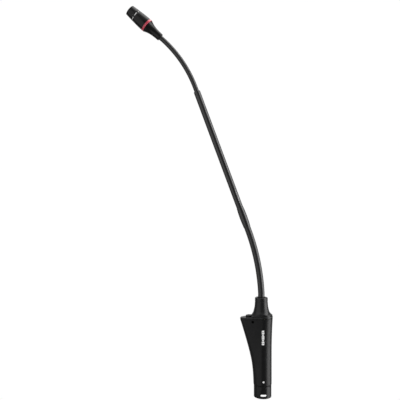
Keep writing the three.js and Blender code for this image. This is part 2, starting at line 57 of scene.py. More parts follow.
# ---- Driving dimensions, the same as the frame's ----
PLUG_R, PLUG_BORE_R, PLUG_TOP_Z = 9.5, 8.2, 13.1
SPIGOT_R, SPIGOT_TOP_Z = 8.7, 25.5
WINDOW_Z, WINDOW_W, WINDOW_H = 3.6, 6.4, 2.4
SET_SCREW_Z, SET_SCREW_R = 18.1, 1.1
HOUSING_Z, COVER_Z, COVER_TOP_Z = 13.4, 85.1, 87.3
SEAM = 0.3
HOUSING_BORE_R, HOUSING_WALL = 9.0, 1.8
BACK_R_LOW, BACK_EDGE_GROWTH = 9.8, 1.3
FRONT_EDGE_LOW, FRONT_SLOPE, FRONT_BEND_Z, FRONT_BEND_SOFTNESS = 9.02, 0.305, 36.5, 17.0
NOSE_R_LOW, NOSE_R_HIGH = 9.3, 5.5
COVER_SLOPE, COVER_LEVEL_X = 0.06, -4.0
COLLAR_TOP_Z, COLLAR_BORE_R = 107.5, 5.3
BUTTON_X, BUTTON_R, BUTTON_TOP_Z = -15.0, 3.3, 88.5
LEAN, LOW_BEND, HEAD_TILT = (math.radians(a) for a in (2.8, 20.38, 48.25))
LOW_BEND_R, STRAIGHT_LENGTH, HIGH_BEND_R, HEAD_STRAIGHT = 229.0, 165.0, 132.8, 2.4
LOWER_FLEX_R, UPPER_FLEX_R, TUBE_R = 3.58, 2.68, 3.6
LOWER_FLEX_END, SLEEVE_END, TUBE_END = 78.3, 100.9, 235.0
SLEEVE_R, SLEEVE_END_R = 4.2, 3.7
PIVOT_MARGIN_LOW, PIVOT_MARGIN_HIGH, JOINTS_PER_FLEX = 4.0, 3.5, 10
RING_START, RING_END, RING_R = 18.7, 21.0, 7.36
SLOT_START, SLOT_END, SLOT_COUNT, POST_WIDTH = 34.8, 36.3, 6, 1.2
SLOT_TURN = math.radians(-86.4)
TAPER_START, HEAD_LENGTH, HEAD_TIP_R, HEAD_BORE_R = 24.0, 44.8, 5.95, 5.95
NECK_X = PIVOTS["lower_bend"].x
DARK_SPOT_X, DARK_SPOT_Z, DARK_SPOT_R = -11.3, 82.4, 1.5
FLOOR_HALF, FLOOR_Z = 1.1, -0.6       # metres

# ---- Camera, world and lights ----
scene = bpy.context.scene
scene.view_settings.view_transform = "Standard"


def add(name, data):
    obj = bpy.data.objects.new(name, data)
    scene.collection.objects.link(obj)
    return obj


def make_camera():
    data = bpy.data.cameras.new("camera")
    data.lens = 50
    data.sensor_width = 36
    data.clip_start = 0.01
    data.clip_end = 50
    camera = add("camera", data)
    camera.location = Vector((-67.9, -603.0, 213.0)) * MM
    camera.rotation_euler = (math.pi / 2, 0, 0)
    scene.camera = camera


def make_world():
    """A grey studio with a white backdrop behind the microphone, as the photographer sees it."""
    world = bpy.data.worlds.new("studio")
    scene.world = world
    world.use_nodes = True
    tree = world.node_tree
    coordinates = tree.nodes.new("ShaderNodeTexCoord")
    split = tree.nodes.new("ShaderNodeSeparateXYZ")
    tree.links.new(coordinates.outputs["Generated"], split.inputs[0])

    def ramp(value, low, high, dark, bright):
        node = tree.nodes.new("ShaderNodeMapRange")
        node.interpolation_type = "SMOOTHSTEP"
        tree.links.new(value, node.inputs["Value"])
        for socket, number in (("From Min", low), ("From Max", high), ("To Min", dark), ("To Max", bright)):
            node.inputs[socket].default_value = number
        return node.outputs["Result"]

    strength = tree.nodes.new("ShaderNodeMath")
    strength.operation = "MAXIMUM"
    tree.links.new(ramp(split.outputs["Y"], 0.80, 0.885, 0, 1.01), strength.inputs[0])
    tree.links.new(ramp(split.outputs["Z"], 0.2, 0.9, 0.19, 0.6), strength.inputs[1])
    tree.links.new(strength.outputs[0], tree.nodes["Background"].inputs["Strength"])
    tree.nodes["Background"].inputs["Color"].default_value = (1, 1, 1, 1)


def softbox(name, width, height, place, target, radiance):
    """A rectangular light of even radiance that faces from place to target, both in metres."""
    data = bpy.data.lights.new(name, "AREA")
    data.shape = "RECTANGLE"
    data.size, data.size_y = width, height
    data.energy = radiance * math.pi * width * height
    light = add(name, data)
    light.location = place
    light.rotation_euler = (Vector(target) - Vector(place)).to_track_quat("-Z", "Y").to_euler()
    light.visible_camera = False


def make_stage():
    softbox("right", 0.95, 2.1, (1.0, -0.25, 0.45), (0, 0, 0.45), 4.1)
    softbox("left", 1.6, 2.1, (-0.92, -0.66, 0.45), (-0.02, 0, 0.45), 0.8)
    softbox("overhead", 1.3, 1.3, (0.35, 0.2, 1.7), (-0.1, 0, 0.2), 2.6)
    floor_mesh = bpy.data.meshes.new("floor")
    corners = [(-FLOOR_HALF, -FLOOR_HALF), (FLOOR_HALF, -FLOOR_HALF), (FLOOR_HALF, FLOOR_HALF),
               (-FLOOR_HALF, FLOOR_HALF)]
    floor_mesh.from_pydata([(x, y, FLOOR_Z) for x, y in corners], [], [(0, 1, 2, 3)])
    floor = add("floor", floor_mesh)
    floor_mesh.materials.append(pale_floor())


# ---- Materials ----
class Shader:
    """A Principled material whose colour, roughness and relief come from noise in object space."""

    def __init__(self, name, colour, roughness, metallic=0.0, specular=0.5):
        self.material = bpy.data.materials.new(name)
        self.material.use_nodes = True
        self.tree = self.material.node_tree
        self.surface = self.tree.nodes["Principled BSDF"]
        self.coordinates = self.tree.nodes.new("ShaderNodeTexCoord").outputs["Object"]
        self.normal = None
        self.surface.inputs["Base Color"].default_value = (*colour, 1)
        self.surface.inputs["Roughness"].default_value = roughness
        self.surface.inputs["Metallic"].default_value = metallic
        self.surface.inputs["Specular IOR Level"].default_value = specular

    def noise(self, size, stretch=(1, 1, 1), detail=3.0, seed=0.0):
        """Noise whose features are about size millimetres across, times stretch along each axis."""
        mapping = self.tree.nodes.new("ShaderNodeMapping")
        mapping.inputs["Scale"].default_value = [1 / s for s in stretch]
        mapping.inputs["Location"].default_value = (seed, 2 * seed, 3 * seed)
        self.tree.links.new(self.coordinates, mapping.inputs["Vector"])
        texture = self.tree.nodes.new("ShaderNodeTexNoise")
        texture.inputs["Scale"].default_value = 1 / (size * MM)
        texture.inputs["Detail"].default_value = detail
        self.tree.links.new(mapping.outputs["Vector"], texture.inputs["Vector"])
        return texture.outputs["Fac"]

    def spread(self, value, low, high, sharpness=0.25):
        """Maps noise round 0.5 to the range low to high."""
        ramp = self.tree.nodes.new("ShaderNodeMapRange")
        ramp.inputs["From Min"].default_value = 0.5 - sharpness
        ramp.inputs["From Max"].default_value = 0.5 + sharpness
        ramp.inputs["To Min"].default_value = low
        ramp.inputs["To Max"].default_value = high
        self.tree.links.new(value, ramp.inputs["Value"])
        return ramp.outputs["Result"]

    def tint(self, value, low, high):
        """Base colour that goes from low to high with the noise."""
        mix = self.tree.nodes.new("ShaderNodeMix")
        mix.data_type = "RGBA"
        mix.inputs["A"].default_value = (*low, 1)
        mix.inputs["B"].default_value = (*high, 1)
        self.tree.links.new(self.spread(value, 0, 1), mix.inputs["Factor"])
        self.tree.links.new(mix.outputs["Result"], self.surface.inputs["Base Color"])
        return self

    def rough(self, value, low, high):
        self.tree.links.new(self.spread(value, low, high), self.surface.inputs["Roughness"])
        return self

    def relief(self, value, depth, strength=1.0):
        """Adds bumps depth millimetres high."""
        bump = self.tree.nodes.new("ShaderNodeBump")
        bump.inputs["Distance"].default_value = depth * MM
        bump.inputs["Strength"].default_value = strength
        self.tree.links.new(value, bump.inputs["Height"])
        if self.normal:
            self.tree.links.new(self.normal, bump.inputs["Normal"])
        self.normal = bump.outputs["Normal"]
        self.tree.links.new(self.normal, self.surface.inputs["Normal"])
        return self

    def set(self, **sockets):
        for name, value in sockets.items():
            self.surface.inputs[name.replace("_", " ")].default_value = value
        return self


def pale_floor():
    """Pale paper that fades out towards its edges."""
    s = Shader("pale_floor", (0.88, 0.88, 0.88), 0.9, specular=0.1)
    s.tint(s.noise(60, seed=3), (0.86, 0.86, 0.86), (0.89, 0.89, 0.89))
    distance = s.tree.nodes.new("ShaderNodeVectorMath")
    distance.operation = "LENGTH"
    s.tree.links.new(s.coordinates, distance.inputs[0])
    fade = s.tree.nodes.new("ShaderNodeMapRange")
    fade.interpolation_type = "SMOOTHSTEP"
    for socket, number in (("From Min", 0.45), ("From Max", 0.98), ("To Min", 1), ("To Max", 0)):
        fade.inputs[socket].default_value = number
    s.tree.links.new(distance.outputs["Value"], fade.inputs["Value"])
    s.tree.links.new(fade.outputs["Result"], s.surface.inputs["Alpha"])
    return s.material


def moulded(name, low, high, roughness, specular, grain=0.22, depth=0.006, seed=1.0):
    """Moulded plastic: fine spark-eroded grain, with slow changes of shade and gloss."""
    s = Shader(name, low, roughness, specular=specular)
    s.tint(s.noise(9, seed=seed), low, high)
    s.rough(s.noise(3.5, seed=seed + 1), roughness - 0.04, roughness + 0.05)
    s.relief(s.noise(14, seed=seed + 2), depth * 1.2, 0.6)
    return s.relief(s.noise(grain, detail=2, seed=seed + 3), depth).material


def lacquered(name, low, high, roughness, specular, depth=0.005, seed=5.0):
    """Black lacquer on metal: the faint orange peel of sprayed paint, and dust-fine specks."""
    s = Shader(name, low, roughness, specular=specular)
    s.tint(s.noise(5, seed=seed), low, high)
    s.rough(s.noise(2.2, seed=seed + 1), roughness - 0.05, roughness + 0.05)
    s.relief(s.noise(0.8, detail=1, seed=seed + 2), depth)
    return s.relief(s.noise(0.12, detail=1, seed=seed + 3), depth * 0.3).material


def turned_metal(name, low, high, roughness, metallic, specular=0.5, depth=0.004, seed=8.0):
    """Metal turned on a lathe: fine rings round the local Z axis."""
    s = Shader(name, low, roughness, metallic, specular)
    rings = s.noise(0.14, stretch=(160, 160, 1), detail=2, seed=seed)
    s.tint(s.noise(4, seed=seed + 1), low, high)
    s.rough(s.noise(0.5, stretch=(40, 40, 1), seed=seed + 2), roughness - 0.05, roughness + 0.06)
    return s.relief(rings, depth).material


def plated(name, low, high, roughness, metallic=1.0, seed=12.0):
    """Bright plating with soft stains and hairline marks."""
    s = Shader(name, low, roughness, metallic)
    s.tint(s.noise(1.6, seed=seed), low, high)
    s.rough(s.noise(0.7, seed=seed + 1), roughness - 0.05, roughness + 0.09)
    return s.relief(s.noise(0.3, stretch=(1, 9, 1), detail=2, seed=seed + 2), 0.003).material


def light_guide():
    """The translucent red ring: cloudy inside, smooth outside, with the shade of the parts behind it, and a faint
    painted glow that stands in for its highlights.
    """
    s = Shader("red_light_guide", (0.42, 0.03, 0.055), 0.26, specular=0.5)
    s.tint(s.noise(2.4, seed=21), (0.36, 0.022, 0.045), (0.50, 0.05, 0.085))
    s.rough(s.noise(1.1, seed=22), 0.2, 0.32)
    s.relief(s.noise(0.7, detail=1, seed=23), 0.003)
    # Painted glow: a faint emission that stands in for the ring's highlights.
    s.set(Emission_Color=(0.9, 0.06, 0.12, 1), Emission_Strength=0.06)
    return s.set(Subsurface_Weight=0.25, Subsurface_Scale=0.0012, Coat_Weight=0.35).material


def circuit_board():
    """Green solder mask with lighter tracks under it."""
    s = Shader("circuit_board", (0.02, 0.12, 0.05), 0.4)
    tracks = s.tree.nodes.new("ShaderNodeTexBrick")
    tracks.inputs["Scale"].default_value = 120
    tracks.inputs["Mortar Size"].default_value = 0.035
    tracks.inputs["Color1"].default_value = (0.014, 0.095, 0.04, 1)
    tracks.inputs["Color2"].default_value = (0.018, 0.12, 0.05, 1)
    tracks.inputs["Mortar"].default_value = (0.05, 0.24, 0.10, 1)
    turn = s.tree.nodes.new("ShaderNodeMapping")
    turn.inputs["Rotation"].default_value = (math.pi / 2, 0, 0)
    s.tree.links.new(s.coordinates, turn.inputs["Vector"])
    s.tree.links.new(turn.outputs["Vector"], tracks.inputs["Vector"])
    s.tree.links.new(tracks.outputs["Color"], s.surface.inputs["Base Color"])
    s.rough(s.noise(2, seed=31), 0.34, 0.46)
    return s.relief(tracks.outputs["Fac"], 0.02).material


LOOKS = {
    "plug_metal": lacquered("plug_enamel", (0.0040, 0.0040, 0.0043), (0.0060, 0.0060, 0.0064), 0.32,
                            0.22, seed=5),
    "housing_black": moulded("housing_plastic", (0.0040, 0.0040, 0.0043), (0.0058, 0.0058, 0.0062),
                             0.34, 0.22),
    "insulator": moulded("insulator_plastic", (0.010, 0.010, 0.010), (0.016, 0.016, 0.016), 0.5, 0.4, seed=2),
    "nickel": plated("nickel_plate", (0.62, 0.61, 0.59), (0.76, 0.75, 0.72), 0.22),
    "brass": turned_metal("turned_brass", (0.60, 0.42, 0.16), (0.72, 0.53, 0.24), 0.3, 1.0),
    "rubber": moulded("soft_rubber", (0.008, 0.008, 0.008), (0.014, 0.014, 0.014), 0.75, 0.3,
                      grain=0.4, seed=4),
    "board": circuit_board(),
    "component": moulded("component_body", (0.008, 0.008, 0.009), (0.014, 0.014, 0.015), 0.4, 0.5, seed=6),
    "neck_sheath": moulded("neck_sheath", (0.0022, 0.0022, 0.0023), (0.0036, 0.0036, 0.0038), 0.32, 0.62,
                           grain=0.18, depth=0.004, seed=7),
    "neck_black": lacquered("neck_lacquer", (0.0022, 0.0022, 0.0023), (0.0036, 0.0036, 0.0038),
                            0.26, 0.66, seed=9),
    "head_black": turned_metal("head_anodised", (0.0016, 0.0016, 0.0017), (0.0028, 0.0028, 0.0030),
                               0.26, 0.0, 0.28),
    "red_lens": light_guide(),
    "led": moulded("led_body", (0.62, 0.60, 0.52), (0.72, 0.70, 0.62), 0.4, 0.5, seed=14),
}
COVER_PLASTIC = moulded("cover_plastic", (0.0036, 0.0036, 0.0039), (0.0054, 0.0054, 0.0058), 0.32,
                        0.34, seed=3)
PRINT = moulded("white_print", (0.88, 0.88, 0.88), (0.95, 0.95, 0.95), 0.5, 0.4, grain=0.1,
                depth=0.003, seed=16)
# Near-white and almost non-metallic, so the set screw's head shows up bright.
NEAR_WHITE_SCREW_LOOK = plated("near_white_screw", (0.88, 0.88, 0.87), (0.95, 0.95, 0.94), 0.5, 0.1)
# Near-white and almost non-metallic: a painted highlight in place of the nickel's reflection, for the screen
# behind the head's slots.
WIRE_WITH_PAINTED_HIGHLIGHT = plated("wire_painted_highlight", (0.90, 0.90, 0.89), (0.96, 0.96, 0.95), 0.42, 0.08, seed=18)
# Near-black and barely reflecting: the disc that makes a dark spot on the housing's side.
NEAR_BLACK_DISC_LOOK = moulded("near_black_disc", (0.0010, 0.0010, 0.0011), (0.0018, 0.0018, 0.0020), 0.5, 0.06,
                      depth=0.001, seed=19)
GREY_PRINT = moulded("grey_print", (0.16, 0.16, 0.165), (0.22, 0.22, 0.225), 0.5, 0.4, grain=0.1,
                     depth=0.002, seed=17)


# ---- Mesh helpers ----
def soften(mesh, sharp=38.0):
    """Smooth shading, except across edges sharper than the given angle."""
    bm = bmesh.new()
    bm.from_mesh(mesh)
    bmesh.ops.remove_doubles(bm, verts=bm.verts, dist=0.5e-6)
    bmesh.ops.dissolve_degenerate(bm, edges=bm.edges, dist=0.5e-6)
    loose = [v for v in bm.verts if not v.link_faces]
    bmesh.ops.delete(bm, geom=loose, context="VERTS")
    bmesh.ops.recalc_face_normals(bm, faces=bm.faces)
    for face in bm.faces:
        face.smooth = True
    for edge in bm.edges:
        edge.smooth = len(edge.link_faces) != 2 or edge.calc_face_angle() < math.radians(sharp)
    bm.to_mesh(mesh)
    bm.free()


def shape(name, points, faces, place=None, sharp=38.0):
    """A mesh object from points in millimetres, in the local frame that place gives."""
    mesh = bpy.data.meshes.new(name)
    mesh.from_pydata([Vector(p) * MM for p in points], [], faces)
    soften(mesh, sharp)
    obj = add(name, mesh)
    if place:
        obj.matrix_world = Matrix.Translation(place.to_translation() * MM) @ place.to_3x3().to_4x4()
    return obj


def rounded(profile, steps=4):
    """Rounds the corners of a profile of (radius, height, reach of the rounding) rows."""
    closed = profile[0][0] > 0
    outline = []
    for i, (radius, height, *reach) in enumerate(profile):
        here = Vector((radius, height))
        at_end = not closed and i in (0, len(profile) - 1)
        if not reach or at_end:
            outline.append((radius, height))
            continue
        before = Vector(profile[i - 1][:2]) - here
        after = Vector(profile[(i + 1) % len(profile)][:2]) - here
        length = min(reach[0], 0.48 * before.length, 0.48 * after.length)
        a, b = here + before.normalized() * length, here + after.normalized() * length
        for k in range(steps + 1):
            t = k / steps
            outline.append(tuple(a * (1 - t) ** 2 + here * 2 * t * (1 - t) + b * t * t))
    return outline


def turned(name, profile, place=None, segments=96, sharp=38.0):
    """A piece turned about local Z. Its profile goes from axis to axis, or closes on itself."""
    outline = rounded(profile)
    points, rings, faces = [], [], []
    for radius, height in outline:
        count = segments if radius > 1e-6 else 1
        rings.append([len(points) + i for i in range(count)])
        for i in range(count):
            a = 2 * math.pi * i / segments
            points.append((radius * math.cos(a), radius * math.sin(a), height))
    pairs = list(zip(rings, rings[1:]))
    if outline[0][0] > 1e-6:
        pairs.append((rings[-1], rings[0]))
    for low, high in pairs:
        for i in range(segments):
            j = (i + 1) % segments
            corners = [low[i % len(low)], low[j % len(low)], high[j % len(high)], high[i % len(high)]]
            face = list(dict.fromkeys(corners))
            if len(face) > 2:
                faces.append(face)
    return shape(name, points, faces, place, sharp)


def lofted(name, rings, loop=False, sharp=38.0):
    """Skins rings of equal point counts. A loop joins last to first; otherwise both ends close."""
    count = len(rings[0])
    faces = []
    for k in range(len(rings) if loop else len(rings) - 1):
        low, high = k * count, (k + 1) % len(rings) * count
        for i in range(count):
            j = (i + 1) % count
            faces.append((low + i, low + j, high + j, high + i))
    if not loop:
        faces.append(tuple(range(count - 1, -1, -1)))
        faces.append(tuple(range((len(rings) - 1) * count, len(rings) * count)))
    return shape(name, [p for ring in rings for p in ring], faces, sharp=sharp)


def carve(obj, tools, operation="DIFFERENCE", bevel=0.0, sharp=38.0):
    """Cuts the tools away from obj, or joins them to it, and rounds the sharp edges by bevel millimetres."""
    for tool in tools:
        modifier = obj.modifiers.new("carve", "BOOLEAN")
        modifier.operation = operation
        modifier.solver = "EXACT"
        modifier.object = tool
    if bevel:
        modifier = obj.modifiers.new("edges", "BEVEL")
        modifier.width = bevel * MM
        modifier.segments = 2
        modifier.limit_method = "ANGLE"
        modifier.angle_limit = math.radians(48)
        modifier.use_clamp_overlap = True
    graph = bpy.context.evaluated_depsgraph_get()
    made = bpy.data.meshes.new_from_object(obj.evaluated_get(graph))
    obj.modifiers.clear()
    obj.data = made
    soften(made, sharp)
    for tool in tools:
        bpy.data.objects.remove(tool)
    return obj


def settle(obj, slot, body, *nodes, look=None):
    """Gives a finished piece its material, the given look or else its slot's, and lets it ride in place of CAD
    nodes.
    """
    obj.data.materials.clear()
    obj.data.materials.append(look or LOOKS[slot])
    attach(obj, body)
    if nodes:
        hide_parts(*nodes)
    return obj


def frame_at(origin, z_axis):
    """A frame at origin, in millimetres, whose Z points along z_axis."""
    return Matrix.Translation(origin) @ Vector(z_axis).to_track_quat("Z", "Y").to_matrix().to_4x4()


# ---- Neck centreline ----
LOW_BEND_START = PIVOT_MARGIN_LOW
STRAIGHT_START = LOW_BEND_START + LOW_BEND_R * (LOW_BEND - LEAN)
HIGH_BEND_START = STRAIGHT_START + STRAIGHT_LENGTH
HIGH_BEND_END = HIGH_BEND_START + HIGH_BEND_R * (HEAD_TILT - LOW_BEND)
HEAD_START = HIGH_BEND_END + HEAD_STRAIGHT


def heading(tilt):
    return Vector((-math.sin(tilt), 0, math.cos(tilt)))


def across(tilt):
    return Vector((math.cos(tilt), 0, math.sin(tilt)))


def arc_from(point, tilt, radius, length):
    return point + radius * (across(tilt + length / radius) - across(tilt))


LOW_BEND_POINT = Vector((NECK_X, 0, COLLAR_TOP_Z + LOW_BEND_START))
STRAIGHT_POINT = arc_from(LOW_BEND_POINT, LEAN, LOW_BEND_R, STRAIGHT_START - LOW_BEND_START)
HIGH_BEND_POINT = STRAIGHT_POINT + heading(LOW_BEND) * STRAIGHT_LENGTH
BEND_END_POINT = arc_from(HIGH_BEND_POINT, LOW_BEND, HIGH_BEND_R, HIGH_BEND_END - HIGH_BEND_START)


def centreline(s):
    """The point and tilt of the neck, s millimetres from the collar's top."""
    if s < LOW_BEND_START:
        return LOW_BEND_POINT + heading(0) * (s - LOW_BEND_START), 0.0
    if s < STRAIGHT_START:
        length = s - LOW_BEND_START
        return arc_from(LOW_BEND_POINT, LEAN, LOW_BEND_R, length), LEAN + length / LOW_BEND_R
    if s < HIGH_BEND_START:
        return STRAIGHT_POINT + heading(LOW_BEND) * (s - STRAIGHT_START), LOW_BEND
    if s < HIGH_BEND_END:
        length = s - HIGH_BEND_START
        return arc_from(HIGH_BEND_POINT, LOW_BEND, HIGH_BEND_R, length), LOW_BEND + length / HIGH_BEND_R
    return BEND_END_POINT + heading(HEAD_TILT) * (s - HIGH_BEND_END), HEAD_TILT


def frame_along(s):
    """The neck's local frame at s: Z along the neck, X across it, away from the talker's floor side."""
    point, tilt = centreline(s)
    axes = Matrix((across(tilt), Vector((0, 1, 0)), heading(tilt))).transposed()
    return Matrix.Translation(point) @ axes.to_4x4()


# ---- Neck ----
RIB_DEPTH = 0.07
END_BAND = 0.03


def sheath(name, start, end, radius, segments=40):
    """A stretch of the neck's skin with shallow rings round it, open where the next stretch carries on."""
    pitch = (end - start) / max(1, round((end - start) / 1.25))
    steps = 6
    count = round((end - start) / pitch) * steps
    stations = [start + (end - start) * i / count for i in range(count + 1)]
    stations = [start, start + END_BAND, *stations[1:-1], end - END_BAND, end]
    points, faces = [], []
    wall = 0.6
    for inside in (False, True):
        for s in reversed(stations) if inside else stations:
            wave = 0.5 - 0.5 * math.cos(2 * math.pi * (s - start) / pitch)
            at_end = min(s - start, end - s) < 1.5 * END_BAND
            r = radius - wall if inside else radius - RIB_DEPTH * (1 - (0 if at_end else wave))
            point, tilt = centreline(s)
            for i in range(segments):
                a = 2 * math.pi * i / segments
                points.append(point + r * (math.cos(a) * across(tilt) + math.sin(a) * Vector((0, 1, 0))))
    rings = 2 * len(stations)
    for k in range(rings):
        for i in range(segments):
            j = (i + 1) % segments
            low, high = k * segments, (k + 1) % rings * segments
            faces.append((low + i, low + j, high + j, high + i))
    return shape(name, points, faces, sharp=50)


def make_flexible(prefix, first, last, radius, tails, ends):
    """One piece of skin for each joint, from the middle of one link to the next."""
    spacing = (last - first) / (JOINTS_PER_FLEX - 1)
    for i in range(JOINTS_PER_FLEX):
        middle = first + spacing * i
        start, end = middle - spacing / 2, middle + spacing / 2
        from_s = start - tails[0] if i == 0 else start
        to_s = end + tails[1] if i == JOINTS_PER_FLEX - 1 else end
        piece = sheath(f"{prefix}_sheath_{i + 1}", from_s, to_s, radius)
        piece.data.materials.append(LOOKS["neck_sheath"])
        nodes = [f"{prefix}_flex_link_{i + 1}"] if i < JOINTS_PER_FLEX - 1 else [ends[1]]
        if i == 0:
            nodes.append(ends[0])
        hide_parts(*nodes)
        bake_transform(piece)


def make_neck():
    make_flexible("lower", PIVOT_MARGIN_LOW, LOWER_FLEX_END - PIVOT_MARGIN_LOW, LOWER_FLEX_R,
                  (5.2, 2.6), ("lower_flex_stub", "lower_flex_end"))
    make_flexible("upper", TUBE_END + PIVOT_MARGIN_HIGH, HEAD_START - PIVOT_MARGIN_HIGH, UPPER_FLEX_R,
                  (2.4, 3.6), ("upper_flex_stub", "upper_flex_end"))

    place = frame_along(LOWER_FLEX_END)
    length = SLEEVE_END - LOWER_FLEX_END
    skin = []
    for i in range(25):
        u = i / 24
        skin.append((SLEEVE_END_R + (SLEEVE_R - SLEEVE_END_R) * math.sin(math.pi * u) ** 0.8, u * length))
    skin[0] = (*skin[0], 0.25)
    skin[-1] = (*skin[-1], 0.25)
    bore = [(3.0, length, 0.1), (3.0, length - 3), (2.6, length - 3), (2.6, 4), (3.61, 4), (3.61, 0, 0.04)]
    sleeve = turned("sleeve", skin + bore, place, 64)
    settle(sleeve, "neck_black", "neck_tube", "neck_sleeve")

    low, high = length + 0.15, TUBE_END - LOWER_FLEX_END
    tube = turned("stiff_tube", [
        (TUBE_R, low, 0.15), (TUBE_R, high, 0.4), (2.76, high, 0.1), (2.76, high - 3.5),
        (2.4, high - 3.5), (2.4, low + 1), (2.5, low + 1), (2.5, low - 8), (2.9, low - 8), (2.9, low),
    ], place, 64)
    settle(tube, "neck_black", "neck_tube", "rigid_tube")


# ---- Base ----
def reach(z):
    return min(1, max(0, (z - HOUSING_Z) / (COVER_TOP_Z - HOUSING_Z)))


def wedge_section(z):
    """Centre and radius of the wedge's round back and nose, and the angle where its flat sides meet them."""
    rise = min(1, max(0, (z - 45) / 42))
    back = BACK_R_LOW + 0.3 * BACK_EDGE_GROWTH * rise**2
    back_x = BACK_R_LOW + BACK_EDGE_GROWTH * rise**2 - back
    nose = NOSE_R_LOW + (NOSE_R_HIGH - NOSE_R_LOW) * reach(z)
    past = z - FRONT_BEND_Z
    front = FRONT_EDGE_LOW + FRONT_SLOPE / 2 * (math.hypot(past, FRONT_BEND_SOFTNESS) + past)
    nose_x = nose - front
    return back_x, back, nose_x, nose, math.acos((back - nose) / (back_x - nose_x))


def wedge_outline(z, inset=0.0, height=None, counts=(65, 33)):
    """The outline of the wedge at z, moved in by inset and drawn at height."""
    back_x, back, nose_x, nose, turn = wedge_section(z)
    points = []
    for x, r, start, end, count in (
        (back_x, back - inset, turn - math.pi, math.pi - turn, counts[0]),
        (nose_x, nose - inset, math.pi - turn, math.pi + turn, counts[1]),
    ):
        for i in range(count):
            a = start + (end - start) * i / (count - 1)
            px = x + r * math.cos(a)
            fall = COVER_SLOPE * reach(z) * (COVER_LEVEL_X - px)
            points.append(Vector((px, r * math.sin(a), (z if height is None else height) - fall)))
    return points


def wedge_side(x, z):
    """The point on the wedge's near side (-Y) at x and z, and the outward direction there."""
    back_x, back, nose_x, nose, turn = wedge_section(z)
    limit = back_x - back * math.cos(turn)
    fall = COVER_SLOPE * reach(z) * (COVER_LEVEL_X - x)
    if x >= limit:
        y = math.sqrt(max(0, back**2 - (x - back_x) ** 2))
        return Vector((x, -y, z - fall)), Vector((x - back_x, -y, 0)).normalized()
    nose_limit = nose_x - nose * math.cos(turn)
    t = (limit - x) / (limit - nose_limit)
    y = (back + (nose - back) * t) * math.sin(turn)
    return Vector((x, -y, z - fall)), Vector((-math.cos(turn), -math.sin(turn), 0))


def peg(radius, start, end, place=None, segments=48):
    """A plain rod to cut with."""
    return turned("tool", [(0, start), (radius, start), (radius, end), (0, end)], place, segments)


def facing_front(x, z):
    """A frame at x and z whose Z points out of the near side (-Y)."""
    return frame_at(Vector((x, 0, z)), (0, -1, 0))


def make_plug():
    barrel = turned("barrel_shell", [
        (PLUG_BORE_R, 0.0, 0.25), (PLUG_R, 0.0, 0.75), (PLUG_R, 11.9, 0.1), (PLUG_R - 0.18, 12.1, 0.1),
        (PLUG_R - 0.18, 12.5, 0.1), (PLUG_R, 12.7, 0.1), (PLUG_R, PLUG_TOP_Z, 0.15), (SPIGOT_R, PLUG_TOP_Z),
        (SPIGOT_R, SPIGOT_TOP_Z, 0.2), (PLUG_BORE_R, SPIGOT_TOP_Z, 0.2), (PLUG_BORE_R, 1.0),
    ], segments=128)
    half = (WINDOW_W - WINDOW_H) / 2
    slot_points = []
    for side in (1, -1):
        for i in range(17):
            a = side * (-math.pi / 2 + math.pi * i / 16)
            slot_points.append((side * half + WINDOW_H / 2 * math.cos(a) * side,
                                WINDOW_Z + WINDOW_H / 2 * math.sin(a)))
    rings = [[Vector((x, y, z)) for x, z in slot_points] for y in (-PLUG_R - 2, -PLUG_BORE_R + 1)]
    window = lofted("tool", rings)
    screw_hole = peg(SET_SCREW_R + 0.2, 7.5, 12, facing_front(0, SET_SCREW_Z))
    carve(barrel, [window, screw_hole], bevel=0.12)
    settle(barrel, "plug_metal", "base", "plug_barrel")

    screw = turned("set_screw", [
        (0, 7.6), (SET_SCREW_R, 7.6), (SET_SCREW_R, 9.6, 0.35), (0.5, 9.74, 0.2), (0, 9.76),
    ], facing_front(0, SET_SCREW_Z), 48)
    hexagon = turned("tool", [(0, 9.4), (0.4, 9.4), (0.4, 10.5), (0, 10.5)], facing_front(0, SET_SCREW_Z), 6)
    carve(screw, [hexagon], bevel=0.05)
    settle(screw, "nickel", "base", "plug_set_screw", look=NEAR_WHITE_SCREW_LOOK)


def make_housing():
    edge, top_edge, levels = 0.6, 0.3, 44
    top = COVER_Z - SEAM
    rings = []
    for i in range(5):
        a = math.pi / 2 * i / 4
        rings.append(wedge_outline(HOUSING_Z, edge * (1 - math.sin(a)), HOUSING_Z + edge * (1 - math.cos(a))))
    for i in range(1, levels):
        rings.append(wedge_outline(HOUSING_Z + edge + (top - top_edge - HOUSING_Z - edge) * i / levels))
    for i in range(4):
        a = math.pi / 2 * i / 3
        rings.append(wedge_outline(top, top_edge * (1 - math.cos(a)), top - top_edge * (1 - math.sin(a))))
    inner_low = SPIGOT_TOP_Z + 0.4
    for i in range(7):
        rings.append(wedge_outline(top + (inner_low - top) * i / 6, HOUSING_WALL))
    for z in (inner_low - 0.2, HOUSING_Z):
        flat = [Vector((p.x, p.y, 0)).normalized() * HOUSING_BORE_R for p in wedge_outline(inner_low)]
        rings.append([Vector((p.x, p.y, z)) for p in flat])
    housing = lofted("housing_shell", rings, loop=True)
    hole = peg(SET_SCREW_R + 0.25, 7.5, 12, facing_front(0, SET_SCREW_Z))
    # A near-black disc with almost no reflection, sunk in a small round recess in the housing's near side, makes a
    # dark spot there.
    spot_point, spot_out = wedge_side(DARK_SPOT_X, DARK_SPOT_Z)
    recess = peg(DARK_SPOT_R, -1.4, 1, frame_at(spot_point, spot_out))
    carve(housing, [hole, recess])
    settle(housing, "housing_black", "base", "base_housing")

    lens = turned("dark_spot_disc", [(0, -1.4), (DARK_SPOT_R, -1.4), (DARK_SPOT_R, -1.15, 0.1), (0, -0.95)],
                  frame_at(spot_point, spot_out), 48)
    settle(lens, "component", "base", look=NEAR_BLACK_DISC_LOOK)


